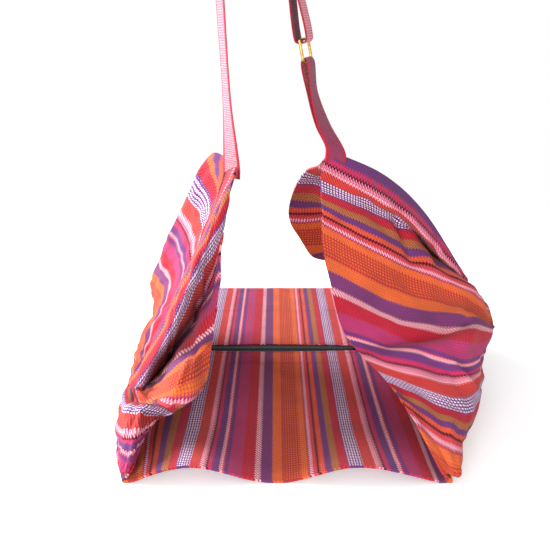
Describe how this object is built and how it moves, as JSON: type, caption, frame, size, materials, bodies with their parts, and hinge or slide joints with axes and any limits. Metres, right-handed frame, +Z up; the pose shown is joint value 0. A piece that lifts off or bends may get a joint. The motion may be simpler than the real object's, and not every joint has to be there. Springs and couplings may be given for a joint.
{
  "type": "yoga mat bag",
  "caption": "Sling bag for a rolled mat: a striped cloth with a hood sewn at each end, a zipped pocket in its floor and a webbing shoulder strap with a ring and an adjuster.",
  "frame": {"origin": "on the ground under the middle of the floor, on the pocket's underside", "axes": "+X along the bag towards the hood with the ring, +Y from the mouth to the back, +Z up"},
  "size_m": [0.4436, 0.5366, 0.6282],
  "materials": {
    "striped_cloth": "hand-loomed striped cotton",
    "pocket_cloth": "plain cotton backing",
    "webbing": "woven heather webbing",
    "zip_tape": "black woven tape",
    "zip_coil": "black nylon coil",
    "zip_metal": "black painted metal",
    "ring_brass": "satin brass"
  },
  "bodies": {
    "bag": {"main_panel": "striped_cloth", "pocket_panel": "pocket_cloth", "shoulder_strap": "webbing", "strap_tab": "webbing", "zip_tape_front": "zip_tape", "zip_tape_back": "zip_tape", "zip_coil_front": "zip_coil", "zip_coil_back": "zip_coil", "zip_stop_left": "zip_metal", "zip_stop_right": "zip_metal"},
    "zip_slider": {"zip_slider": "zip_metal"},
    "zip_pull": {"zip_pull": "zip_metal"},
    "strap_ring": {"strap_ring": "ring_brass"},
    "strap_slider": {"strap_slider": "ring_brass"}
  },
  "joints": [
    {"name": "zip_slide", "type": "slide", "parent": "bag", "child": "zip_slider", "axis": [-1, 0, 0], "range_m": [0, 0.226]},
    {"name": "pull_turn", "type": "hinge", "parent": "zip_slider", "child": "zip_pull", "pos_m": [0.1133, 0.018, 0.00695], "axis": [0, -1, 0], "range_deg": [0, 180]},
    {"name": "ring_swing", "type": "hinge", "parent": "bag", "child": "strap_ring", "pos_m": [0.03416, -0.075, 0.38121], "axis": [0.3305, 0.9415, 0.0661], "range_deg": [-8, 8]},
    {"name": "adjuster_slide", "type": "slide", "parent": "bag", "child": "strap_slider", "axis": [-0.1961, 0, 0.9806], "range_m": [-0.025, 0.025], "deforming": ["shoulder_strap"]}
  ]
}
